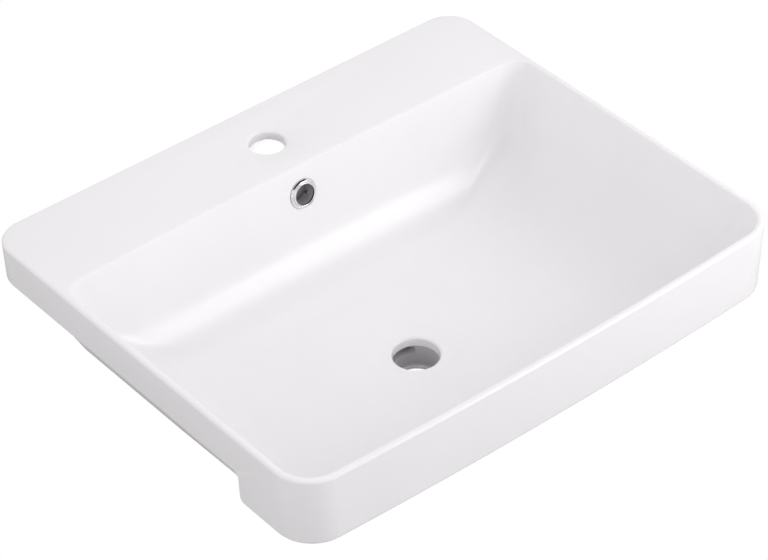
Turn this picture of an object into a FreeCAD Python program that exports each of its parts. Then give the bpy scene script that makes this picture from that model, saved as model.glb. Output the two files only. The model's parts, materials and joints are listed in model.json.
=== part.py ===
import FreeCAD, Part
import math
import os

# Semi recessed basin, in millimetres. +X is to the right of someone who faces the basin, +Y is
# towards the wall and +Z is up. The origin lies on the counter, on the centreline, in the middle of
# the flat land that the back of the rim stands on. "Reach" is a distance forward of the wall face, and
# "depth" is a distance below the flat top of the rim.

Vector = FreeCAD.Vector

# ---- rim ----
rim_width = 560.0            # left to right, at the top
rim_reach = 459.5            # wall face to the front corners
front_bow = 6.8              # the front edge bulges this much in the middle
rim_height = 43.5            # top of the rim above the counter
rim_corner_back = 31.0       # plan radii of the rim's corners
rim_corner_front = 39.0
side_draft = 1.6             # degrees that the side and front faces lean in towards the bottom
lip_width = 6.5              # flat between the rim's outer edge and the bowl, before rounding
lip_round = 3.0              # outer roll of the lip
bowl_edge_round = 2.4        # inner roll of the lip and of the deck's front edge
rim_foot_round = 4.5         # lower outer edge of the rim and the apron

# ---- apron in front of the counter ----
apron_thickness = 93.5       # front corners to the rear face, which stops at the counter's edge
apron_drop = 29.5            # apron below the counter's top
apron_heel_round = 8.0       # lower rear corner of the apron at each side

# ---- deck at the back ----
deck_reach = 107.0           # wall face to the bowl's edge, at its ends
deck_bow = 3.4               # the bowl's back edge is this much nearer the wall in the middle
deck_thickness = 9.5
back_wall = 8.5              # thickness of the rim's walls around the hollow under the deck
tap_hole_diameter = 35.0
tap_hole_reach = 56.0
tap_hole_round = 3.2

# ---- bowl ----
bowl_corner_back = 21.0      # plan radii of the bowl at its edge
bowl_corner_front = 33.0
bowl_floor_corner = 78.0     # plan radius of the corners where the walls have run into the floor
floor_edge_depth = 117.0     # where the blends of all four walls have run into the floor
side_wall_draft = 20.0       # degrees off vertical
back_wall_draft = 10.0
front_wall_draft = 20.0
side_blend = 90.0            # radius from wall to floor
back_blend = 72.0
front_blend = 84.0
side_floor_slope = 4.0       # degrees, where a wall's blend ends
end_floor_slope = 6.0
blend_share = 0.49           # the blends start this far down, as a share of the floor's depth
bowl_steps = 11              # sections through the blends
skin_steps = 8

# ---- waste ----
waste_offset = 1.7           # the waste hole is this far in front of the floor's middle
waste_diameter = 45.0
waste_depth = 124.0          # edge of the waste hole
dish_diameter = 92.0         # soft dish round the waste hole
dish_sink = 2.6              # depth of the dish
dish_flat_diameter = 66.0
dish_flat_fall = 0.35        # fall of the dish's inner part to the hole's edge
waste_edge_round = 3.0
waste_wall_length = 31.5     # edge of the waste hole to its ledge
waste_ledge_diameter = 41.0
boss_diameter = 82.0
boss_foot_round = 3.0
boss_height = 36.0           # edge of the waste hole to the boss's underside, where the waste's nut tightens

# ---- china under the bowl ----
china_wall = 12.0            # around the bowl and under its floor; thinner under the dish
back_skin_reach = 82.0       # wall face to the rear face of the underbody
back_skin_draft = 3.0
back_skin_blend = 96.0
skin_corner_back = 15.0
skin_corner_front = 44.0
skin_floor_corner = 88.0

# ---- overflow ----
overflow_depth = 30.6        # centre of the overflow hole, measured straight down
overflow_bore = 26.0
bore_wall = 7.0              # china between the waste hole and the end of the duct
overflow_seat_sink = 0.2     # the ring's flat landing, ground into the wall
overflow_seat_diameter = 31.0
duct_front_wall = 9.0        # china between the bowl and the duct
duct_gap = 9.0
duct_width = 50.0
duct_back_wall = 8.0
duct_corner = 3.0            # cut off the corners of the duct, and more off those of its ridge
ridge_corner = 9.0
duct_top_depth = 17.0
slot_width = 28.0            # window from the duct into the waste hole
slot_height = 9.0
slot_round = 3.0

# ---- overflow trim ----
ring_diameter = 30.0
ring_aperture = 21.4
ring_edge_thickness = 0.9    # outer rim of the flange
ring_rise = 2.7              # top of the raised inner rim over the flange's back
ring_step_diameter = 26.0    # foot of the raised inner rim
ring_crown_width = 1.3       # top of the inner rim, before rounding
ring_ease = 0.4              # edges of the flange and of the inner rim, eased
spigot_length = 4.2          # flange's back to the end of the spigot inside the sleeve
trim_clearance = 0.1         # radial play between the trim's round pieces
seal_thickness = 1.0
seal_diameter = 28.4
sleeve_wall = 1.3
sleeve_length = 13.0
sleeve_shoulder = 0.8        # ledge that stops the ring's spigot
round_steps = 3              # steps in the turned roundings
leg_count = 3
leg_slot_width = 3.2
leg_root = 4.6               # closed collar at the mouth, before the legs start
barb_rise = 0.9              # how far the legs' barbs hook behind the china
barb_length = 2.4

# ---- places that follow from the sizes above ----
wall_face = (back_wall + rim_foot_round) / 2
rim_top = rim_height
rim_foot = rim_top - rim_height
apron_foot = rim_foot - apron_drop
bowl_half_width = rim_width / 2 - lip_width
bowl_front = rim_reach - lip_width
apron_reach = rim_reach - apron_thickness
waste_radius = waste_diameter / 2
boss_depth = waste_depth + boss_height
flange_back = seal_thickness - overflow_seat_sink    # over the bowl's wall, on the overflow hole's axis
sleeve_radius = overflow_bore / 2 - trim_clearance
sleeve_mouth = sleeve_radius - sleeve_wall


def along(reach):
    """Y of a place that lies this far in front of the wall."""
    return wall_face - reach


def below(depth):
    """Z of a place this far below the top of the rim."""
    return rim_top - depth


def corner_centres(half_width, edge_y, bow, radius, side):
    """Centre of one right-hand plan corner, and of the bowed edge that it runs into."""
    if not bow:
        return Vector(half_width - radius, edge_y - side * radius, 0), None
    bow_radius = (half_width ** 2 + bow ** 2) / (2 * bow)
    bow_centre = Vector(0, edge_y + side * (bow - bow_radius), 0)
    rise = math.sqrt((bow_radius - radius) ** 2 - (half_width - radius) ** 2)
    return Vector(half_width - radius, bow_centre.y + side * rise, 0), bow_centre


def corner(half_width, edge_y, bow, radius, side):
    """End on the side, middle, and end on the front or back edge of one right-hand plan corner."""
    centre, bow_centre = corner_centres(half_width, edge_y, bow, radius, side)
    outward = (centre - bow_centre).normalize() if bow else Vector(0, side, 0)
    middle = (Vector(1, 0, 0) + outward).normalize()
    return [centre + direction * radius for direction in (Vector(1, 0, 0), middle, outward)]


def outline(half_width, back, front, z, corners, bows):
    """Closed plan outline: a rounded rectangle whose back and front edges may be bowed outward.

    back and front are reaches at the corners; corners and bows are (back, front) pairs.
    """
    back_y = along(back)
    front_y = along(front)
    rear = corner(half_width, back_y, bows[0], corners[0], 1)
    nose = corner(half_width, front_y, bows[1], corners[1], -1)

    def place(point, mirror=1):
        return Vector(mirror * point.x, point.y, z)

    def end_edge(points, y, bow, towards):
        left = place(points[2], -1)
        right = place(points[2])
        ends = (left, right) if towards > 0 else (right, left)
        if bow:
            return Part.Arc(ends[0], Vector(0, y + towards * bow, z), ends[1])
        return Part.LineSegment(*ends)

    curves = [
        end_edge(rear, back_y, bows[0], 1),
        Part.Arc(place(rear[2]), place(rear[1]), place(rear[0])),
        Part.LineSegment(place(rear[0]), place(nose[0])),
        Part.Arc(place(nose[0]), place(nose[1]), place(nose[2])),
        end_edge(nose, front_y, bows[1], -1),
        Part.Arc(place(nose[2], -1), place(nose[1], -1), place(nose[0], -1)),
        Part.LineSegment(place(nose[0], -1), place(rear[0], -1)),
        Part.Arc(place(rear[0], -1), place(rear[1], -1), place(rear[2], -1)),
    ]
    return Part.Wire([curve.toShape() for curve in curves])


def blend_start(draft, blend, end_depth, end_slope):
    """Depth where a leaning wall turns into the arc that ends at end_depth with end_slope."""
    steep = math.radians(90 - draft)
    return end_depth - blend * (math.cos(math.radians(end_slope)) - math.cos(steep))


def travel(depth, draft, blend, end_depth, end_slope):
    """How far a wall has come inward at this depth: straight with its draft, then round its blend."""
    start = blend_start(draft, blend, end_depth, end_slope)
    if depth <= start:
        return depth * math.tan(math.radians(draft))
    steep = math.radians(90 - draft)
    slope = math.acos(min(1.0, math.cos(steep) + (depth - start) / blend))
    return start * math.tan(math.radians(draft)) + blend * (math.sin(steep) - math.sin(slope))


def between(low, high, share):
    return low + (high - low) * share


def bowl_levels(start_depth, end_depth, steps):
    """Depths of a wall's sections: two on the straight part, then closer together where it runs flat."""
    turn_depth = end_depth * blend_share
    quarter = math.pi / 2 / steps
    turning = [between(turn_depth, end_depth, math.sin(step * quarter)) for step in range(steps + 1)]
    return [start_depth, between(start_depth, turn_depth, 0.5)] + turning


def roll(depth, draft, radius):
    """How far a rolled edge stands inside the line of its wall: level at the top, then down the wall."""
    lean = math.radians(draft)
    if depth >= radius * (1 - math.sin(lean)):
        return 0.0
    centre = radius * ((1 - math.sin(lean)) * math.tan(lean) - math.cos(lean))
    drop = max(0.0, depth)
    return centre + math.sqrt(radius ** 2 - (radius - drop) ** 2) - drop * math.tan(lean)


def bowl_section(depth, offset):
    """Plan section of the bowl (offset 0) or of a skin that lies offset outside it."""
    level = max(0.0, depth)

    def wall(draft, blend, slope):
        end = floor_edge_depth + offset * math.cos(math.radians(slope))
        along_wall = travel(level, draft, blend + offset, end, slope)
        edge = 0.0 if offset else roll(depth, draft, bowl_edge_round)
        return along_wall + edge - offset / math.cos(math.radians(draft))

    side = wall(side_wall_draft, side_blend, side_floor_slope)
    front = wall(front_wall_draft, front_blend, end_floor_slope)
    back = wall(back_wall_draft, back_blend, end_floor_slope)
    whole = travel(floor_edge_depth, side_wall_draft, side_blend, floor_edge_depth, side_floor_slope)
    return side, front, back, max(0.0, min(1.0, (side + offset) / whole))


def waste_place():
    """Reach of the waste hole: near the middle of the floor."""
    side, front, back, share = bowl_section(floor_edge_depth, 0.0)
    return (deck_reach + back + bowl_front - front) / 2 + waste_offset


def bowl_wires():
    """Sections of the bowl from above the rim to the edge of the dish."""
    wires = []
    rolled = [bowl_edge_round * (1 - math.cos(math.radians(angle))) for angle in (0, 25, 50)]
    for depth in [-lip_width] + rolled + bowl_levels(bowl_edge_round, floor_edge_depth, bowl_steps):
        side, front, back, share = bowl_section(depth, 0.0)
        corners = (
            between(bowl_corner_back, bowl_floor_corner, share ** 1.5),
            between(bowl_corner_front, bowl_floor_corner, share ** 1.5),
        )
        wires.append(
            outline(
                bowl_half_width - side, deck_reach + back, bowl_front - front, below(depth),
                corners, (between(deck_bow, 1.0, share), between(front_bow, 2.0, share)),
            )
        )
    return wires


def floor_wires():
    """Sections of the floor, which closes in on the dish round the waste hole."""
    side, front, back, share = bowl_section(floor_edge_depth, 0.0)
    dish_edge_depth = waste_depth - dish_sink
    dish_radius = dish_diameter / 2
    wires = []
    for step in (0.0, 1.0):
        corners = (between(bowl_floor_corner, dish_radius * 0.9, step),) * 2
        wires.append(
            outline(
                between(bowl_half_width - side, dish_radius, step),
                between(deck_reach + back, waste_place() - dish_radius, step),
                between(bowl_front - front, waste_place() + dish_radius, step),
                below(between(floor_edge_depth, dish_edge_depth, step)),
                corners,
                (1.0 - 0.9 * step, 2.0 - 1.9 * step),
            )
        )
    return wires


def bowl_space():
    walls = Part.makeLoft(bowl_wires(), True, True)
    floor = Part.makeLoft(floor_wires(), True, True)
    return walls.fuse(floor)


def skin_wires():
    """Sections of the china's outer skin under the bowl, from inside the deck to the floor."""
    end_depth = floor_edge_depth + china_wall * math.cos(math.radians(side_floor_slope))
    back_turn = travel(end_depth, back_skin_draft, back_skin_blend, end_depth, end_floor_slope)
    wires = []
    for depth in bowl_levels(lip_round, end_depth, skin_steps):
        side, front, back, share = bowl_section(depth, china_wall)
        back = travel(depth, back_skin_draft, back_skin_blend, end_depth, end_floor_slope)
        corners = (
            between(skin_corner_back, skin_floor_corner, (back / back_turn) ** 1.2),
            between(skin_corner_front, skin_floor_corner, share ** 1.5),
        )
        wires.append(
            outline(
                bowl_half_width - side, back_skin_reach + back, bowl_front - front, below(depth),
                corners, (0.0, between(front_bow, 2.0, share)),
            )
        )
    return wires


def rim_block(depth):
    """The rim's outer form down to this depth: upright at the back, drafted at the sides and the front."""
    inset = depth * math.tan(math.radians(side_draft))
    half_width = rim_width / 2
    bow_radius = (half_width ** 2 + front_bow ** 2) / (2 * front_bow)
    corners = [
        (-half_width, rim_top),
        (half_width, rim_top),
        (half_width - inset, below(depth)),
        (inset - half_width, below(depth)),
    ]
    back_face = Part.Face(Part.makePolygon([Vector(x, wall_face, z) for x, z in corners + corners[:1]]))
    prism = back_face.extrude(Vector(0, -rim_reach - front_bow, 0))
    bow_axis = Vector(0, along(rim_reach + front_bow) + bow_radius, below(depth))
    block = prism.common(Part.makeCone(bow_radius - inset, bow_radius, depth, bow_axis))

    def upright_edge(at_back):
        return lambda edge: edge.BoundBox.ZLength > depth / 2 and (edge.BoundBox.YMax > 0) == at_back

    block = rounded(block, rim_corner_back, upright_edge(True))
    return rounded(block, rim_corner_front, upright_edge(False))


def side_profile(points, curves=()):
    """Solid as wide as the rim from a closed outline in the Y-Z plane; curves maps a corner to a radius."""
    over = 10.0
    half_width = rim_width / 2 + over
    wire = Part.makePolygon([Vector(-half_width, y, z) for y, z in points + points[:1]])
    solid = Part.Face(wire).extrude(Vector(2 * half_width, 0, 0))
    for (y, z), radius in curves:
        edges = [edge for edge in solid.Edges if all(
            abs(vertex.Y - y) < 0.01 and abs(vertex.Z - z) < 0.01 for vertex in edge.Vertexes)]
        solid = solid.makeFillet(radius, edges)
    return solid


def rim_with_apron():
    """Rim and apron: the apron hangs in front of the counter, so the rest is cut off at its top."""
    block = rim_block(rim_height + apron_drop)
    rear_face = along(apron_reach)
    beyond = 20.0
    keep = side_profile(
        [
            (along(-beyond), rim_top + beyond),
            (along(-beyond), rim_foot),
            (rear_face, rim_foot),
            (rear_face, apron_foot),
            (along(rim_reach + beyond + front_bow), apron_foot),
            (along(rim_reach + beyond + front_bow), rim_top + beyond),
        ],
        [((rear_face, apron_foot), apron_heel_round)],
    )
    return block.common(keep)


def middle_of(edge):
    return edge.valueAt((edge.FirstParameter + edge.LastParameter) / 2)


def apron_edge(edge):
    """Whether this is part of the apron's lower or rear outer edge."""
    middle = middle_of(edge)
    low = all(vertex.Z < rim_foot + 0.01 for vertex in edge.Vertexes)
    front = lies_at(edge, apron_foot) and middle.y < along(apron_reach) - apron_heel_round
    heel = abs(middle.y - along(apron_reach)) < apron_heel_round and abs(middle.x) > bowl_half_width
    return low and (front or heel)


def rim_foot_edge(edge):
    """Whether this is part of the rim's lower outer edge, and not its line with the apron's rear face."""
    return lies_at(edge, rim_foot) and abs(middle_of(edge).y - along(apron_reach)) > 0.5


def rounded_rim():
    rim = rounded(rim_with_apron(), rim_foot_round, apron_edge)
    rim = rounded(rim, rim_foot_round, rim_foot_edge)
    return rounded(rim, lip_round, lambda edge: lies_at(edge, rim_top))


def rounded(solid, radius, chosen):
    """Solid with every edge for which chosen(edge) holds rounded."""
    return solid.makeFillet(radius, [edge for edge in solid.Edges if chosen(edge)])


def lies_at(edge, z):
    return all(abs(vertex.Z - z) < 0.01 for vertex in edge.Vertexes)


def deck_hollow():
    """Open hollow under the deck, where the tap's nut and hoses go."""
    reach_over = 30.0
    floor = outline(
        rim_width / 2 - back_wall, back_wall, back_skin_reach + reach_over, rim_foot - reach_over,
        (rim_corner_back - back_wall, 2.0), (0.0, 0.0),
    )
    height = rim_top - deck_thickness - (rim_foot - reach_over)
    return Part.Face(floor).extrude(Vector(0, 0, height))


def wall_direction():
    """Outward normal of the bowl's back wall."""
    lean = math.radians(back_wall_draft)
    return Vector(0, -math.cos(lean), math.sin(lean))


def overflow_centre():
    """Where the overflow hole's axis meets the bowl's back wall."""
    lean = math.radians(back_wall_draft)
    reach = deck_reach - deck_bow + overflow_depth * math.tan(lean)
    return Vector(0, along(reach), below(overflow_depth))


def on_overflow(solid):
    """A solid of revolution made on +Z, with its seat at the origin, set on the overflow hole."""
    turned = solid.copy()
    turn = FreeCAD.Rotation(Vector(0, 0, 1), wall_direction())
    turned.Placement = FreeCAD.Placement(overflow_centre(), turn)
    return turned


def duct_path(offset, start_depth, end_reach):
    """Line of the overflow duct, offset behind the bowl's back wall and then under its floor."""
    steep = math.radians(90 - back_wall_draft)
    flat = math.radians(end_floor_slope)
    turn_depth = blend_start(back_wall_draft, back_blend, floor_edge_depth, end_floor_slope)
    wall_reach = deck_reach - deck_bow
    wall_lean = math.tan(math.radians(back_wall_draft))
    middle = Vector(
        0,
        along(wall_reach + turn_depth * wall_lean + back_blend * math.sin(steep)),
        below(turn_depth) + back_blend * math.cos(steep),
    )
    radius = back_blend + offset

    def on_arc(slope):
        return middle + Vector(0, math.sin(slope), -math.cos(slope)) * radius

    upper = on_arc(steep)
    climb = (below(start_depth) - upper.z) / math.sin(steep)
    top = upper + Vector(0, math.cos(steep), math.sin(steep)) * climb
    lower = on_arc(flat)
    run = (lower.y - along(end_reach)) / math.cos(flat)
    end = lower + Vector(0, -math.cos(flat), -math.sin(flat)) * run
    return Part.Wire([
        Part.LineSegment(top, upper).toShape(),
        Part.Arc(upper, on_arc((steep + flat) / 2), lower).toShape(),
        Part.LineSegment(lower, end).toShape(),
    ])


def duct(offset, width, height, chamfer, start_depth, end_reach):
    """Flat tube with its corners cut off, along the duct's line."""
    path = duct_path(offset, start_depth, end_reach)
    start = path.Vertexes[0].Point
    along_path = path.Edges[0].tangentAt(path.Edges[0].FirstParameter)
    across = Vector(1, 0, 0)
    outward = along_path.cross(across)
    half_width = width / 2
    half_height = height / 2
    quarter = [(half_width, half_height - chamfer), (half_width - chamfer, half_height)]
    outline_points = (
        quarter
        + [(-x, h) for x, h in reversed(quarter)]
        + [(-x, -h) for x, h in quarter]
        + [(x, -h) for x, h in reversed(quarter)]
    )
    outline_loop = outline_points + outline_points[:1]
    section = Part.makePolygon([start + across * x + outward * h for x, h in outline_loop])
    return path.makePipeShell([section], True, False)


def turned_round(radius, height, size, inward, upward):
    """Points of a rounded corner at (radius, height), from the level face to the upright one."""
    points = []
    for step in range(round_steps + 1):
        angle = math.pi / 2 * step / round_steps
        points.append((
            radius + inward * size * (1 - math.sin(angle)),
            height + upward * size * (1 - math.cos(angle)),
        ))
    return points


def revolved(profile, axis_place=Vector(0, 0, 0)):
    """Solid turned about a +Z axis from a closed profile of (radius, height) corners."""
    wire = Part.makePolygon([Vector(r, 0, h) for r, h in profile + profile[:1]])
    solid = Part.Face(wire).revolve(Vector(0, 0, 0), Vector(0, 0, 1), 360)
    solid.translate(axis_place)
    return solid


def upright(diameter, reach, low_z, high_z):
    """Cylinder on +Z on the centreline, at this reach."""
    return Part.makeCylinder(diameter / 2, high_z - low_z, Vector(0, along(reach), low_z))


def dish_space():
    """Soft dish round the waste hole: a short cone down to a nearly flat floor."""
    over = 3.0
    rim_z = below(waste_depth - dish_sink)
    flat_z = below(waste_depth) + dish_flat_fall
    slope = (dish_diameter - dish_flat_diameter) / 2 / (rim_z - flat_z)
    profile = [
        (0.0, below(waste_depth)),
        (waste_radius, below(waste_depth)),
        (dish_flat_diameter / 2, flat_z),
        (dish_diameter / 2 + over * slope, rim_z + over),
        (0.0, rim_z + over),
    ]
    return revolved(profile, Vector(0, along(waste_place()), 0))


def waste_space():
    """Waste hole: a rounded edge, a straight wall for the waste, then a ledge above the opening below."""
    over = 5.0
    ledge_z = below(waste_depth + waste_wall_length)
    ledge_radius = waste_ledge_diameter / 2
    cone = waste_radius - ledge_radius
    edge = turned_round(waste_radius, below(waste_depth), waste_edge_round, 1, -1)
    profile = [(0.0, below(waste_depth) + over), (edge[0][0], below(waste_depth) + over)] + edge + [
        (waste_radius, ledge_z),
        (ledge_radius, ledge_z - cone),
        (ledge_radius, below(boss_depth) - over),
        (0.0, below(boss_depth) - over),
    ]
    return revolved(profile, Vector(0, along(waste_place()), 0))


def tap_hole_space():
    """Tap hole with a rounded upper edge."""
    over = 5.0
    edge = turned_round(tap_hole_diameter / 2, rim_top, tap_hole_round, 1, -1)
    profile = [(0.0, rim_top + over), (edge[0][0], rim_top + over)] + edge + [
        (tap_hole_diameter / 2, rim_foot),
        (0.0, rim_foot),
    ]
    return revolved(profile, Vector(0, along(tap_hole_reach), 0))


def slot_space():
    """Window in the back of the waste hole where the overflow duct empties."""
    duct_end = duct_path(duct_front_wall + duct_gap / 2, duct_top_depth, waste_place() - waste_radius)
    length = waste_radius + bore_wall
    corner_point = Vector(-slot_width / 2, along(waste_place()), duct_end.Vertexes[-1].Z - slot_height / 2)
    box = Part.makeBox(slot_width, length, slot_height, corner_point)
    return rounded(box, slot_round, lambda edge: edge.BoundBox.YLength > length / 2)


def underbody():
    """China under the rim: the bowl's skin, a shallow cone under the floor and the boss for the waste."""
    inset = lip_width - lip_round
    within_rim = outline(
        rim_width / 2 - inset, inset, rim_reach - inset, below(boss_depth),
        (rim_corner_back, rim_corner_front), (0.0, front_bow),
    )
    rim_prism = Part.Face(within_rim).extrude(Vector(0, 0, boss_depth))
    skin = Part.makeLoft(skin_wires(), True, True).common(rim_prism)
    boss_radius = boss_diameter / 2
    boss_foot = below(boss_depth)
    boss = revolved(
        [
            (0.0, below(floor_edge_depth + china_wall / 2)),
            (dish_diameter, below(floor_edge_depth + china_wall / 2)),
            (boss_radius + china_wall, below(waste_depth + china_wall)),
            (boss_radius, below(waste_depth + china_wall)),
        ]
        + list(reversed(turned_round(boss_radius, boss_foot, boss_foot_round, -1, 1)))
        + [(0.0, boss_foot)],
        Vector(0, along(waste_place()), 0),
    )
    return skin.fuse(boss)


def duct_space():
    """Overflow duct between the china's two walls. It stops short of the wall round the waste hole."""
    tube = duct(
        duct_front_wall + duct_gap / 2, duct_width, duct_gap, duct_corner,
        duct_top_depth, waste_place() - waste_radius / 2,
    )
    return tube.cut(upright(waste_diameter + 2 * bore_wall, waste_place(), below(boss_depth), rim_top))


def duct_bulge():
    """China round the duct, which shows as a flat ridge under the bowl and ends in the boss."""
    height = duct_front_wall + duct_gap + duct_back_wall
    return duct(
        height / 2, duct_width + 2 * duct_back_wall, height, ridge_corner,
        duct_top_depth + duct_gap, waste_place() - waste_radius - 1.0,
    )


def basin_body():
    body = rounded_rim().cut(deck_hollow()).fuse([underbody(), duct_bulge()]).removeSplitter()
    overflow_length = duct_front_wall + duct_gap / 2
    bore = Part.makeCylinder(overflow_bore / 2, 2 * overflow_length, Vector(0, 0, -overflow_length))
    seat = Part.makeCylinder(overflow_seat_diameter / 2, duct_gap, Vector(0, 0, -overflow_seat_sink))
    spaces = [
        bowl_space(),
        dish_space(),
        waste_space(),
        duct_space(),
        slot_space(),
        tap_hole_space(),
        on_overflow(bore),
        on_overflow(seat),
    ]
    for space in spaces:
        body = body.cut(space)
    return body.Solids[0]


def overflow_seal():
    """Rubber washer between the ring and the china."""
    profile = [
        (sleeve_radius + trim_clearance, -overflow_seat_sink),
        (seal_diameter / 2, -overflow_seat_sink),
        (seal_diameter / 2, flange_back),
        (sleeve_radius + trim_clearance, flange_back),
    ]
    return on_overflow(revolved(profile))


def overflow_ring():
    """Chrome trim: a thin flange with a raised inner rim, and a spigot that plugs into the sleeve."""
    aperture = ring_aperture / 2
    spigot = sleeve_mouth - trim_clearance
    edge_height = flange_back + ring_edge_thickness
    crown_height = flange_back + ring_rise
    crown = aperture + ring_crown_width
    profile = [
        (aperture, flange_back - spigot_length),
        (spigot, flange_back - spigot_length),
        (spigot, flange_back),
        (ring_diameter / 2, flange_back),
        (ring_diameter / 2, edge_height - ring_ease),
        (ring_diameter / 2 - ring_ease, edge_height),
        (ring_step_diameter / 2, edge_height),
        (crown, crown_height - ring_ease),
        (crown - ring_ease, crown_height),
        (aperture + ring_ease, crown_height),
        (aperture, crown_height - ring_ease),
    ]
    return on_overflow(revolved(profile))


def overflow_sleeve():
    """Plastic lining of the overflow hole: a collar, then legs whose barbs hook behind the china."""
    bore = sleeve_mouth - sleeve_shoulder
    shoulder_height = flange_back - spigot_length - trim_clearance
    foot_height = flange_back - sleeve_length
    barb_height = -duct_front_wall - trim_clearance
    profile = [
        (sleeve_mouth, flange_back),
        (sleeve_radius, flange_back),
        (sleeve_radius, barb_height),
        (sleeve_radius + barb_rise, barb_height),
        (sleeve_radius, barb_height - barb_length),
        (sleeve_radius, foot_height),
        (bore, foot_height),
        (bore, shoulder_height),
        (sleeve_mouth, shoulder_height),
    ]
    sleeve = revolved(profile)
    slot_length = sleeve_length - leg_root
    for index in range(leg_count):
        corner = Vector(0, -leg_slot_width / 2, foot_height)
        slot = Part.makeBox(overflow_bore, leg_slot_width, slot_length, corner)
        slot.rotate(Vector(0, 0, 0), Vector(0, 0, 1), 90 + index * 360 / leg_count)
        sleeve = sleeve.cut(slot)
    return on_overflow(sleeve.Solids[0])


def main():
    os.makedirs("parts", exist_ok=True)
    pieces = {
        "basin_body": basin_body(),
        "overflow_seal": overflow_seal(),
        "overflow_sleeve": overflow_sleeve(),
        "overflow_ring": overflow_ring(),
    }
    for name, solid in pieces.items():
        solid.exportStep(f"parts/{name}.step")


if __name__ == "__main__":
    main()
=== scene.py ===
import json
import math

import bmesh
import bpy
from mathutils import Matrix, Vector


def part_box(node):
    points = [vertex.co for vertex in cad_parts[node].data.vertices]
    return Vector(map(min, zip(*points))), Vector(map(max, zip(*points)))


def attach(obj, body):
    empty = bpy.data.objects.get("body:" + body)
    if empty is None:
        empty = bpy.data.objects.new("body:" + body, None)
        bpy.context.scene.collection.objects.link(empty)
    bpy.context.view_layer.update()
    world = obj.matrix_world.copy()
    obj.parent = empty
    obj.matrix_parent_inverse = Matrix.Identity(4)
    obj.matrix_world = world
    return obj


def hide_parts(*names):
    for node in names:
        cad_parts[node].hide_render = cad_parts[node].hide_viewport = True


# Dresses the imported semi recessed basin. Metres, +Z up, the wall is towards +Y, and the origin lies
# on the counter, on the centreline.

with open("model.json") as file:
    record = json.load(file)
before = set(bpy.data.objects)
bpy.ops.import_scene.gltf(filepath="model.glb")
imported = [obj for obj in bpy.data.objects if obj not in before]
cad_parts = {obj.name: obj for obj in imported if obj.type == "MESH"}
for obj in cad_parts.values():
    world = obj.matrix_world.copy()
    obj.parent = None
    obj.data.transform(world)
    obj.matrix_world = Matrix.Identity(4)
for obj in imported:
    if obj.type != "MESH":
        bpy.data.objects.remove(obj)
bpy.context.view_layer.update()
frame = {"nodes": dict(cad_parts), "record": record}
MOUNTS = {mount["name"]: mount["pos_m"] for mount in frame["record"]["mounts"]}
UP = Vector((0, 0, 1))
WHITE = (1, 1, 1)

# ---- camera, solved from the straight edges and circles of the basin ----
CAMERA_PLACE = Vector((-1.39281, -1.95120, 1.77891))
CAMERA_AZIMUTH = -38.831          # degrees, 0 looks along +Y
CAMERA_ELEVATION = 39.0
CAMERA_ROLL = -1.46
CAMERA_LENS = 144.64              # mm
CAMERA_SENSOR = 36.0
CAMERA_FAR = 20.0                 # past the far corner of the floor

# ---- light ----
AMBIENT = 0.84                    # how bright the white surroundings are to the object
STRIP_TONE = 0.02                 # a dark strip overhead, which only reflections show
STRIP_NORMAL = Vector((-0.246, 0.821, 0.515))       # the strip runs across this direction
STRIP_OFFSET = 0.05               # and its middle leans this much towards it, as a sine
STRIP_WIDTHS = (0.28, 0.18)       # sine of its half width with and without its soft edge
STRIP_HEIGHTS = (0.48, 0.58)      # sine of the elevation where it starts and where it is full
LIGHT_TARGET = Vector((0, -0.23, 0))                # the soft lights face the basin's middle
DECK_LIGHT_PLACE = Vector((0.035, -0.070, -0.070))  # in the hollow under the deck
DECK_LIGHT_AIM = Vector((-0.005, 0.068, 0.056))
DECK_LIGHT_SIZE = 0.03
DECK_LIGHT_SPREAD = 60.0          # degrees, so that the tap hole's own wall stays in shade
DECK_LIGHT_POWER = 0.016          # watts, as for the other lights
FLOOR_GREY = 0.54                 # how much of the light the floor gives back
FLOOR_ROUGHNESS = 0.9
FLOOR_SIZE = 12.0
FLOOR_GAP = 0.0002                # keeps the floor just clear of the boss that stands on it

# ---- china ----
GLAZE = (0.925, 0.905, 0.925)
GLAZE_SHADE = (0.912, 0.893, 0.910)      # where the glaze lies a little thicker
PINHOLE = (0.80, 0.77, 0.74)             # clay that shows at the bottom of a pinhole
GLAZE_ROUGHNESS = 0.24
GLAZE_IOR = 1.5
CLAY = (0.72, 0.68, 0.61)
CLAY_STAIN = (0.62, 0.57, 0.49)
CLAY_SPECK = (0.40, 0.31, 0.22)
CLAY_ROUGHNESS = 0.85
BORE_CLAY_AND_SHADE = (0.55, 0.54, 0.55)           # bare clay, painted darker as shade inside the waste hole and the overflow's window
LAND_FACING = (-0.88, -0.97)             # normal's Z where a face starts to go bare, and where it is
WASTE_BARE_SHADE_RADIUS = 0.036                # takes in the hole's wall and the overflow's window
WASTE_BARE_SHADE_EDGE = 0.0005                 # and fades out over this width
BORE_GLAZE_END = -0.0895                 # the glaze stops and the painted shade starts here inside the waste hole
BORE_SHADE_END = -0.1130                  # and the bare clay with its painted shade stops here, on the ledge's slope
BORE_EDGE = 0.0008                       # both ends fade over this height
CHINA_CREASE = 28                        # degrees: sharper edges than this stay sharp

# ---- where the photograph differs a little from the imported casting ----
APRON_REAR = MOUNTS["counter_edge_stop"][1]
APRON_REAR_MARGIN = 0.0005               # takes in the rear face itself
APRON_FOOT = -0.0295                     # as packed
APRON_FOOT_MARGIN = 0.0001               # takes in the foot itself
APRON_LOWER = 0.0020                     # the photograph shows the apron this much lower
SKIN_TOP = -0.001                        # the underbody starts just under the rim's foot
SKIN_WIDER = 0.0016                      # and shows this much wider at each side
SKIN_WIDENING_START = 0.2                # from the centreline, where the widening sets in
SKIN_WIDENING_EASE = 0.04                # and how far it takes to its full amount

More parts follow.
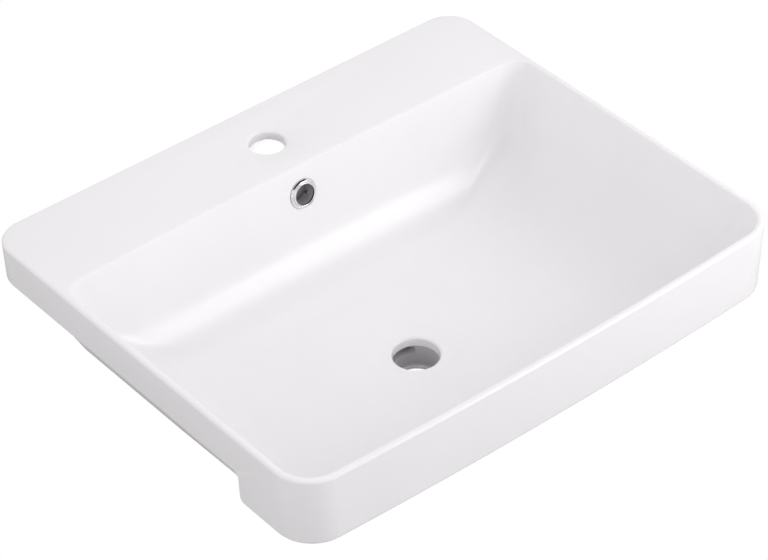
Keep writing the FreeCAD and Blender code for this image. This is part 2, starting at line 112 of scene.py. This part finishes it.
# ---- overflow trim, on its own axis ----
OVERFLOW_PLACE = Vector((0.0, -0.10250, 0.0129))    # middle of the hole, on the bowl's back wall
WALL_LEAN = 10.0                  # degrees that this wall leans back
TRIM_CREASE = 30                  # degrees, for the sleeve and the seal
RING_CREASE = 40
WELD_REACH = 1e-6                 # joins the corners of neighbouring faces
SLEEVE_GREYS = ((0.33, 0.33, 0.34), (0.40, 0.40, 0.41))
SEAL_BLACKS = ((0.025, 0.025, 0.026), (0.045, 0.045, 0.046))
CHROME_TONES = ((0.90, 0.90, 0.92), (0.84, 0.85, 0.87))
# painted shade: the black that stands in for the shadow in the ring's bore
BORE_SHADE_BLACKS = ((0.012, 0.012, 0.013), (0.022, 0.022, 0.023))

# The ring's section in millimetres: radius, and height over the china.
MM_PER_METRE = 1000
RING_SEGMENTS = 160
RING_BORE = 10.7
RING_SPIGOT = 11.5
RING_SPIGOT_FOOT = -3.4
RING_REACH = 14.98
RING_FLANGE_BACK = 0.8            # the seal lies under it
RING_BORE_LIMIT = 10.9            # faces nearer to the axis are the ring's bore, painted black as shade near its rim
RING_GREY_TOP = 1.6               # and below this height they are as grey as the sleeve
RING_ROUNDINGS = (                # centre, radius, first and last angle, steps
    ((11.25, 2.95), 0.55, 180, 90, 8),      # inner rim, towards the bore
    ((11.5, 2.9), 0.6, 90, 10, 8),          # inner rim, towards the flange
    ((12.85, 2.35), 0.45, 190, 260, 5),     # hollow at the rim's foot
    ((13.45, 2.05), 0.40, 95, 49, 4),       # top of the flange
    ((14.60, 0.98), 0.38, 49, 0, 4),        # edge of the flange
)

# ---- socket types and places in Blender's nodes ----
NUMBER = "NodeSocketFloat"
VECTOR = "NodeSocketVector"
MIX_SOCKETS = {"RGBA": (6, 7, 2), "VECTOR": (4, 5, 1)}      # two inputs and the output of a Mix node


def node(tree, kind, **values):
    """A node with these settings and unlinked input values."""
    made = tree.nodes.new(kind)
    for name, value in values.items():
        if name in made.inputs:
            made.inputs[name].default_value = value
        else:
            setattr(made, name, value)
    return made


def feed(tree, value, socket):
    """Links a socket to an input, or sets the input to a plain value."""
    if isinstance(value, bpy.types.NodeSocket):
        tree.links.new(value, socket)
    else:
        socket.default_value = value


def maths(tree, operation, *values, kind="ShaderNodeMath", result="Value"):
    """Result of a Math node on sockets or plain values."""
    made = node(tree, kind, operation=operation)
    for value, socket in zip(values, made.inputs):
        feed(tree, value, socket)
    return made.outputs[result]


def vector_maths(tree, operation, *values, result="Vector"):
    """Result of a Vector Math node on sockets or plain vectors."""
    return maths(tree, operation, *values, kind="ShaderNodeVectorMath", result=result)


def upward(tree, vector):
    """How high a place lies, or how far a direction points up."""
    parts = tree.nodes.new("ShaderNodeSeparateXYZ")
    tree.links.new(vector, parts.inputs["Vector"])
    return parts.outputs["Z"]


def ramp(tree, value, low, high):
    """Smooth step of a value from 0 at low to 1 at high."""
    step = tree.nodes.new("ShaderNodeMapRange")
    step.interpolation_type = "SMOOTHSTEP"
    step.inputs["From Min"].default_value = low
    step.inputs["From Max"].default_value = high
    tree.links.new(value, step.inputs["Value"])
    return step.outputs["Result"]


def between(tree, share, low, high):
    """A number that runs from low to high as share runs from 0 to 1."""
    run = tree.nodes.new("ShaderNodeMapRange")
    run.inputs["To Min"].default_value = low
    run.inputs["To Max"].default_value = high
    tree.links.new(share, run.inputs["Value"])
    return run.outputs["Result"]


def mixed(tree, share, first, second, data_type="RGBA"):
    """Mix by share; first and second are colours or sockets."""
    mix = node(tree, "ShaderNodeMix", data_type=data_type)
    tree.links.new(share, mix.inputs["Factor"])
    first_input, second_input, output = MIX_SOCKETS[data_type]
    for index, value in ((first_input, first), (second_input, second)):
        if isinstance(value, tuple):
            value = (*value, 1)
        feed(tree, value, mix.inputs[index])
    return mix.outputs[output]


def shader_mix(tree, share, first, second):
    """The first shader where share is 0, and the second where it is 1."""
    mix = tree.nodes.new("ShaderNodeMixShader")
    for value, socket in zip((share, first, second), mix.inputs):
        tree.links.new(value, socket)
    return mix.outputs["Shader"]


def noise(tree, place, scale, detail, roughness):
    """Cloudy noise at a place, about 0.5 on average."""
    texture = node(tree, "ShaderNodeTexNoise", Detail=detail, Roughness=roughness)
    feed(tree, scale, texture.inputs["Scale"])
    tree.links.new(place, texture.inputs["Vector"])
    return texture.outputs["Fac"]


def spots(tree, place, scale, edge, core):
    """Scattered spots: 1 within core of their middles, 0 outside edge, in parts of their spacing."""
    texture = node(tree, "ShaderNodeTexVoronoi", Scale=scale, Randomness=1.0)
    tree.links.new(place, texture.inputs["Vector"])
    return ramp(tree, texture.outputs["Distance"], edge, core)


def bump(tree, height, strength, distance):
    """Normal of a surface with this height on it."""
    relief = node(tree, "ShaderNodeBump", Distance=distance)
    feed(tree, strength, relief.inputs["Strength"])
    tree.links.new(height, relief.inputs["Height"])
    return relief.outputs["Normal"]


def group(name, inputs, outputs):
    """An empty node group with these inputs and outputs, each a name and a socket type."""
    tree = bpy.data.node_groups.new(name, "ShaderNodeTree")
    for direction, sockets in (("INPUT", inputs), ("OUTPUT", outputs)):
        for socket, kind in sockets.items():
            tree.interface.new_socket(socket, in_out=direction, socket_type=kind)
    return tree, tree.nodes.new("NodeGroupInput").outputs, tree.nodes.new("NodeGroupOutput").inputs


def use_group(tree, made, place, **numbers):
    """Outputs of a node group at this place, with this material's own numbers."""
    used = tree.nodes.new("ShaderNodeGroup")
    used.node_tree = made
    tree.links.new(place, used.inputs["Vector"])
    for name, number in numbers.items():
        used.inputs[name].default_value = number
    return used.outputs


def new_material(name):
    """A material, its node tree and its shader."""
    material = bpy.data.materials.new(name)
    material.use_nodes = True
    tree = material.node_tree
    return material, tree, tree.nodes["Principled BSDF"]


def glaze_group():
    """Fired glaze: slow changes of thickness, orange peel and a few pinholes."""
    outputs = {"Thickness": NUMBER, "Pinholes": NUMBER, "Normal": VECTOR}
    tree, given, out = group("glaze_detail", {"Vector": VECTOR}, outputs)
    link = tree.links.new
    slow = noise(tree, given["Vector"], scale=9.0, detail=3.0, roughness=0.55)
    peel = noise(tree, given["Vector"], scale=140.0, detail=2.0, roughness=0.45)
    link(ramp(tree, slow, low=0.35, high=0.68), out["Thickness"])
    link(spots(tree, given["Vector"], scale=55.0, edge=0.035, core=0.015), out["Pinholes"])
    link(bump(tree, peel, strength=0.10, distance=0.0003), out["Normal"])
    return tree


def clay_group():
    """Bare fired clay: sandy grain, iron specks and soft stains."""
    outputs = {"Stain": NUMBER, "Specks": NUMBER, "Normal": VECTOR}
    tree, given, out = group("clay_detail", {"Vector": VECTOR}, outputs)
    link = tree.links.new
    stain = noise(tree, given["Vector"], scale=14.0, detail=5.0, roughness=0.6)
    sand = noise(tree, given["Vector"], scale=900.0, detail=3.0, roughness=0.7)
    link(ramp(tree, stain, low=0.35, high=0.7), out["Stain"])
    link(spots(tree, given["Vector"], scale=260.0, edge=0.14, core=0.06), out["Specks"])
    link(bump(tree, sand, strength=0.35, distance=0.0002), out["Normal"])
    return tree


def bare_and_shade_group():
    """Where the china has no glaze: faces that look down, and the lower part of the waste hole, which is
    also painted darker as shade.
    """
    tree, given, out = group("bare_and_shaded_places", {"Vector": VECTOR}, {"Lands": NUMBER, "BoreClayAndShade": NUMBER})
    link = tree.links.new
    normal = tree.nodes.new("ShaderNodeNewGeometry").outputs["Normal"]
    link(ramp(tree, upward(tree, normal), *LAND_FACING), out["Lands"])
    # the waste hole's mask marks bare clay and also where shade is painted into the hole
    from_waste = vector_maths(tree, "SUBTRACT", given["Vector"], MOUNTS["waste_hole"])
    level = vector_maths(tree, "MULTIPLY", from_waste, (1, 1, 0))
    reach = vector_maths(tree, "LENGTH", level, result="Value")
    height = upward(tree, given["Vector"])
    near = ramp(tree, reach, low=WASTE_BARE_SHADE_RADIUS + WASTE_BARE_SHADE_EDGE, high=WASTE_BARE_SHADE_RADIUS)
    under_glaze = ramp(tree, height, low=BORE_GLAZE_END, high=BORE_GLAZE_END - BORE_EDGE)
    over_ledge = ramp(tree, height, low=BORE_SHADE_END - BORE_EDGE, high=BORE_SHADE_END)
    deep = maths(tree, "MULTIPLY", near, under_glaze)
    link(maths(tree, "MULTIPLY", deep, over_ledge), out["BoreClayAndShade"])
    return tree


def grain_group():
    """Slow tone and fine grain, for the trim's metal, plastic and rubber."""
    inputs = {"Vector": VECTOR, "ToneScale": NUMBER, "GrainScale": NUMBER, "GrainDepth": NUMBER}
    tree, given, out = group("fine_grain", inputs, {"Tone": NUMBER, "Normal": VECTOR})
    link = tree.links.new
    tone = noise(tree, given["Vector"], given["ToneScale"], detail=4.0, roughness=0.6)
    grain = noise(tree, given["Vector"], given["GrainScale"], detail=3.0, roughness=0.6)
    link(ramp(tree, tone, low=0.35, high=0.65), out["Tone"])
    link(bump(tree, grain, given["GrainDepth"], distance=0.00005), out["Normal"])
    return tree


def china():
    """White glaze over fired clay, bare on the lands, on the underside and deep in the waste hole, where
    the clay is painted darker as shade.
    """
    material, tree, shader = new_material("china")
    link = tree.links.new
    place = tree.nodes.new("ShaderNodeNewGeometry").outputs["Position"]
    glaze = use_group(tree, glaze_group(), place)
    clay = use_group(tree, clay_group(), place)
    bare = use_group(tree, bare_and_shade_group(), place)
    glazed = mixed(tree, glaze["Thickness"], GLAZE, GLAZE_SHADE)
    pitted = mixed(tree, glaze["Pinholes"], glazed, PINHOLE)
    stained = mixed(tree, clay["Stain"], CLAY, CLAY_STAIN)
    specked = mixed(tree, clay["Specks"], stained, CLAY_SPECK)
    landed = mixed(tree, bare["Lands"], pitted, specked)
    # painted shade: the waste hole's bare clay is coloured darker than the clay elsewhere
    link(mixed(tree, bare["BoreClayAndShade"], landed, BORE_CLAY_AND_SHADE), shader.inputs["Base Color"])
    uncoated = maths(tree, "MAXIMUM", bare["Lands"], bare["BoreClayAndShade"])
    link(between(tree, uncoated, GLAZE_ROUGHNESS, CLAY_ROUGHNESS), shader.inputs["Roughness"])
    link(mixed(tree, uncoated, glaze["Normal"], clay["Normal"], "VECTOR"), shader.inputs["Normal"])
    shader.inputs["IOR"].default_value = GLAZE_IOR
    return material


def fine_material(name, grain, colours, roughness, metallic=0.0, **numbers):
    """Colour and roughness that drift between two values, with the fine grain at these numbers."""
    material, tree, shader = new_material(name)
    link = tree.links.new
    place = tree.nodes.new("ShaderNodeNewGeometry").outputs["Position"]
    detail = use_group(tree, grain, place, **numbers)
    link(mixed(tree, detail["Tone"], *colours), shader.inputs["Base Color"])
    link(between(tree, detail["Tone"], *roughness), shader.inputs["Roughness"])
    link(detail["Normal"], shader.inputs["Normal"])
    shader.inputs["Metallic"].default_value = metallic
    return material


def sleeve_plastic(grain):
    """Grey moulded plastic of the overflow's sleeve."""
    return fine_material(
        "plastic", grain, SLEEVE_GREYS, roughness=(0.3, 0.42),
        ToneScale=180.0, GrainScale=2500.0, GrainDepth=0.2,
    )


def seal_rubber(grain):
    """Dull black rubber of the washer behind the ring."""
    return fine_material(
        "rubber", grain, SEAL_BLACKS, roughness=(0.6, 0.8),
        ToneScale=250.0, GrainScale=1800.0, GrainDepth=0.5,
    )


def ring_chrome(grain):
    """Bright plating with a slow drift in its polish."""
    return fine_material(
        "chrome", grain, CHROME_TONES, roughness=(0.03, 0.06), metallic=1.0,
        ToneScale=120.0, GrainScale=3000.0, GrainDepth=0.01,
    )


def bore_shade_plastic(grain):
    """Black in the ring's bore, painted as shade, with a plastic's roughness and grain."""
    return fine_material(
        "ring_bore_shade", grain, BORE_SHADE_BLACKS, roughness=(0.35, 0.5),
        ToneScale=160.0, GrainScale=2200.0, GrainDepth=0.1,
    )


def add_object(name, data):
    """A new object in the scene."""
    made = bpy.data.objects.new(name, data)
    bpy.context.scene.collection.objects.link(made)
    return made


def finish_piece(piece, material, crease):
    """Material and smooth shading, with edges sharper than crease kept, and its place on the body."""
    piece.data.materials.clear()
    piece.data.materials.append(material)
    for polygon in piece.data.polygons:
        polygon.use_smooth = True
        polygon.material_index = 0
    weld = piece.modifiers.new("weld", "WELD")
    weld.merge_threshold = WELD_REACH
    split = piece.modifiers.new("split", "EDGE_SPLIT")
    split.split_angle = math.radians(crease)
    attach(piece, "root")


def smoothstep(value, low, high):
    """0 below low, 1 over high, and a smooth rise between them."""
    share = max(0.0, min(1.0, (value - low) / (high - low)))
    return share * share * (3 - 2 * share)


def settled(place):
    """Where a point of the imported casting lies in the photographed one."""
    in_front = place.y < APRON_REAR + APRON_REAR_MARGIN
    aside = abs(place.x)
    if in_front and APRON_FOOT - APRON_FOOT_MARGIN < place.z < 0:
        place.z -= APRON_LOWER * smoothstep(-place.z, 0.0, -APRON_FOOT)
    elif place.z < SKIN_TOP and place.y > APRON_REAR and aside > SKIN_WIDENING_START:
        end = SKIN_WIDENING_START + SKIN_WIDENING_EASE
        wider = SKIN_WIDER * smoothstep(aside, SKIN_WIDENING_START, end)
        place.x += math.copysign(wider, place.x)
    return place


def settled_casting(original):
    """Copy of the casting with its apron's foot lower and its underbody wider, as photographed."""
    piece = add_object("casting", original.data.copy())
    piece.matrix_world = original.matrix_world.copy()
    to_frame = piece.matrix_world
    to_piece = to_frame.inverted()
    for vertex in piece.data.vertices:
        vertex.co = to_piece @ settled(to_frame @ vertex.co)
    return piece


def arc(centre, radius, start, end, steps):
    """Points (radius, height) on an arc, angles in degrees."""
    points = []
    for step in range(steps + 1):
        angle = math.radians(start + (end - start) * step / steps)
        points.append((centre[0] + radius * math.cos(angle), centre[1] + radius * math.sin(angle)))
    return points


def turned(name, profile):
    """Piece turned about its own Z from a closed profile of (radius, height) in millimetres."""
    build = bmesh.new()
    columns = []
    for index in range(RING_SEGMENTS):
        angle = 2 * math.pi * index / RING_SEGMENTS
        across = Vector((math.cos(angle), math.sin(angle), 0))
        places = [(across * radius + UP * height) / MM_PER_METRE for radius, height in profile]
        columns.append([build.verts.new(place) for place in places])
    for index, here in enumerate(columns):
        there = columns[(index + 1) % RING_SEGMENTS]
        for point in range(len(profile)):
            after = (point + 1) % len(profile)
            build.faces.new((here[point], there[point], there[after], here[after]))
    bmesh.ops.recalc_face_normals(build, faces=build.faces)
    mesh = bpy.data.meshes.new(name)
    build.to_mesh(mesh)
    build.free()
    return add_object(name, mesh)


def overflow_seat():
    """Place and turn of the overflow's trim, which looks out of the leaning back wall."""
    lean = math.radians(WALL_LEAN)
    outward = Vector((0, -math.cos(lean), math.sin(lean)))
    return Matrix.Translation(OVERFLOW_PLACE) @ UP.rotation_difference(outward).to_matrix().to_4x4()


def ring():
    """The overflow's ring with its true roundings: inner rim, hollow and steep flange."""
    profile = [(RING_BORE, RING_SPIGOT_FOOT), (RING_BORE, RING_GREY_TOP)]
    for rounding in RING_ROUNDINGS:
        profile += arc(*rounding)
    profile += [(RING_REACH, RING_FLANGE_BACK), (RING_SPIGOT, RING_FLANGE_BACK)]
    profile.append((RING_SPIGOT, RING_SPIGOT_FOOT))
    piece = turned("ring", profile)
    piece.matrix_world = overflow_seat()
    return piece


def paint_bore_shade(trim, black, grey):
    """Paints shade into the ring's bore: black near its rim, and grey where the sleeve's plastic shows."""
    materials = trim.data.materials
    materials.append(black)
    materials.append(grey)
    for polygon in trim.data.polygons:
        reach = polygon.center.xy.length * MM_PER_METRE
        height = polygon.center.z * MM_PER_METRE
        if reach < RING_BORE_LIMIT:
            # the black near the bore's rim is painted shade
            lining = black if height > RING_GREY_TOP else grey
            polygon.material_index = materials.find(lining.name)


def dress_casting():
    """The basin itself, in glazed china."""
    casting = settled_casting(frame["nodes"]["basin_body"])
    finish_piece(casting, china(), CHINA_CREASE)
    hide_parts("basin_body")


def dress_overflow():
    """Sleeve and seal as packed, and the ring with its roundings."""
    nodes = frame["nodes"]
    grain = grain_group()
    plastic = sleeve_plastic(grain)
    finish_piece(nodes["overflow_sleeve"], plastic, TRIM_CREASE)
    finish_piece(nodes["overflow_seal"], seal_rubber(grain), TRIM_CREASE)
    trim = ring()
    finish_piece(trim, ring_chrome(grain), RING_CREASE)
    paint_bore_shade(trim, bore_shade_plastic(grain), plastic)
    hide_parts("overflow_ring")


def towards(azimuth, elevation):
    """Direction at these angles in degrees; azimuth 0 is straight in front of the basin."""
    turn = math.radians(azimuth)
    rise = math.radians(elevation)
    return Vector((math.sin(turn) * math.cos(rise), -math.cos(turn) * math.cos(rise), math.sin(rise)))


def camera():
    """Camera at the photograph's view, turned by its roll."""
    roll = math.radians(CAMERA_ROLL)
    back = towards(CAMERA_AZIMUTH, CAMERA_ELEVATION)
    level = UP.cross(back).normalized()
    upright = back.cross(level)
    right = level * math.cos(roll) + upright * math.sin(roll)
    up = upright * math.cos(roll) - level * math.sin(roll)
    data = bpy.data.cameras.new("camera")
    data.lens = CAMERA_LENS
    data.sensor_width = CAMERA_SENSOR
    data.clip_end = CAMERA_FAR
    made = add_object("camera", data)
    axes = Matrix((right, up, back)).transposed().to_4x4()
    made.matrix_world = Matrix.Translation(CAMERA_PLACE) @ axes
    bpy.context.scene.camera = made


def area_light(name, place, back, size, power):
    """Square light at a place, which shines away from its back."""
    data = bpy.data.lights.new(name, "AREA")
    data.size = size
    data.energy = power
    made = add_object(name, data)
    made.location = place
    made.rotation_euler = back.to_track_quat("Z", "Y").to_euler()
    return made


def soft_light(name, azimuth, elevation, distance, size, power):
    """Light that faces the middle of the basin from this direction."""
    back = towards(azimuth, elevation)
    area_light(name, LIGHT_TARGET + back * distance, back, size, power)


def deck_light():
    """Small light in the hollow, so that the back wall shows white through the tap hole."""
    made = area_light("deck", DECK_LIGHT_PLACE, -DECK_LIGHT_AIM, DECK_LIGHT_SIZE, DECK_LIGHT_POWER)
    made.data.spread = math.radians(DECK_LIGHT_SPREAD)
    made.visible_camera = False


def background(tree, strength, colour=(*WHITE, 1)):
    """The surroundings at this strength, white or in the colour of a socket."""
    shader = node(tree, "ShaderNodeBackground", Strength=strength)
    feed(tree, colour, shader.inputs["Color"])
    return shader.outputs["Background"]


def surroundings():
    """White to the camera, an even pale studio to the object, and a dark strip overhead in reflections."""
    world = bpy.data.worlds.new("studio")
    bpy.context.scene.world = world
    world.use_nodes = True
    tree = world.node_tree
    tree.nodes.clear()
    direction = tree.nodes.new("ShaderNodeTexCoord").outputs["Generated"]
    across = vector_maths(tree, "DOT_PRODUCT", direction, STRIP_NORMAL.normalized(), result="Value")
    from_middle = maths(tree, "ABSOLUTE", maths(tree, "SUBTRACT", across, STRIP_OFFSET))
    overhead = ramp(tree, upward(tree, direction), *STRIP_HEIGHTS)
    strip = maths(tree, "MULTIPLY", ramp(tree, from_middle, *STRIP_WIDTHS), overhead)
    reflected = background(tree, AMBIENT, mixed(tree, strip, WHITE, (STRIP_TONE,) * 3))
    path = tree.nodes.new("ShaderNodeLightPath").outputs
    to_object = shader_mix(tree, path["Is Glossy Ray"], background(tree, AMBIENT), reflected)
    everything = shader_mix(tree, path["Is Camera Ray"], to_object, background(tree, 1.0))
    tree.links.new(everything, tree.nodes.new("ShaderNodeOutputWorld").inputs["Surface"])


def floor_paint():
    """Pale to the object, and plain white to the camera."""
    material, tree, pale = new_material("floor")
    pale.inputs["Base Color"].default_value = (FLOOR_GREY, FLOOR_GREY, FLOOR_GREY, 1)
    pale.inputs["Roughness"].default_value = FLOOR_ROUGHNESS
    white = node(tree, "ShaderNodeEmission", Strength=1.0)
    path = tree.nodes.new("ShaderNodeLightPath").outputs
    seen = shader_mix(tree, path["Is Camera Ray"], pale.outputs["BSDF"], white.outputs["Emission"])
    tree.links.new(seen, tree.nodes["Material Output"].inputs["Surface"])
    return material


def floor(height):
    """Plain floor at this height, which is not part of the basin."""
    bpy.ops.mesh.primitive_plane_add(size=FLOOR_SIZE, location=(0, 0, height))
    plane = bpy.context.object
    plane.name = "floor"
    plane.data.materials.append(floor_paint())


dress_casting()
dress_overflow()
camera()
surroundings()
soft_light("key", azimuth=36.0, elevation=8.0, distance=1.3, size=0.8, power=2.3)
soft_light("fill_right", azimuth=40.0, elevation=28.0, distance=1.6, size=0.75, power=5.2)
soft_light("fill_left", azimuth=-75.0, elevation=25.0, distance=1.6, size=1.0, power=1.1)
deck_light()
floor(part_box("basin_body")[0].z - FLOOR_GAP)
bpy.context.scene.view_settings.view_transform = "Standard"
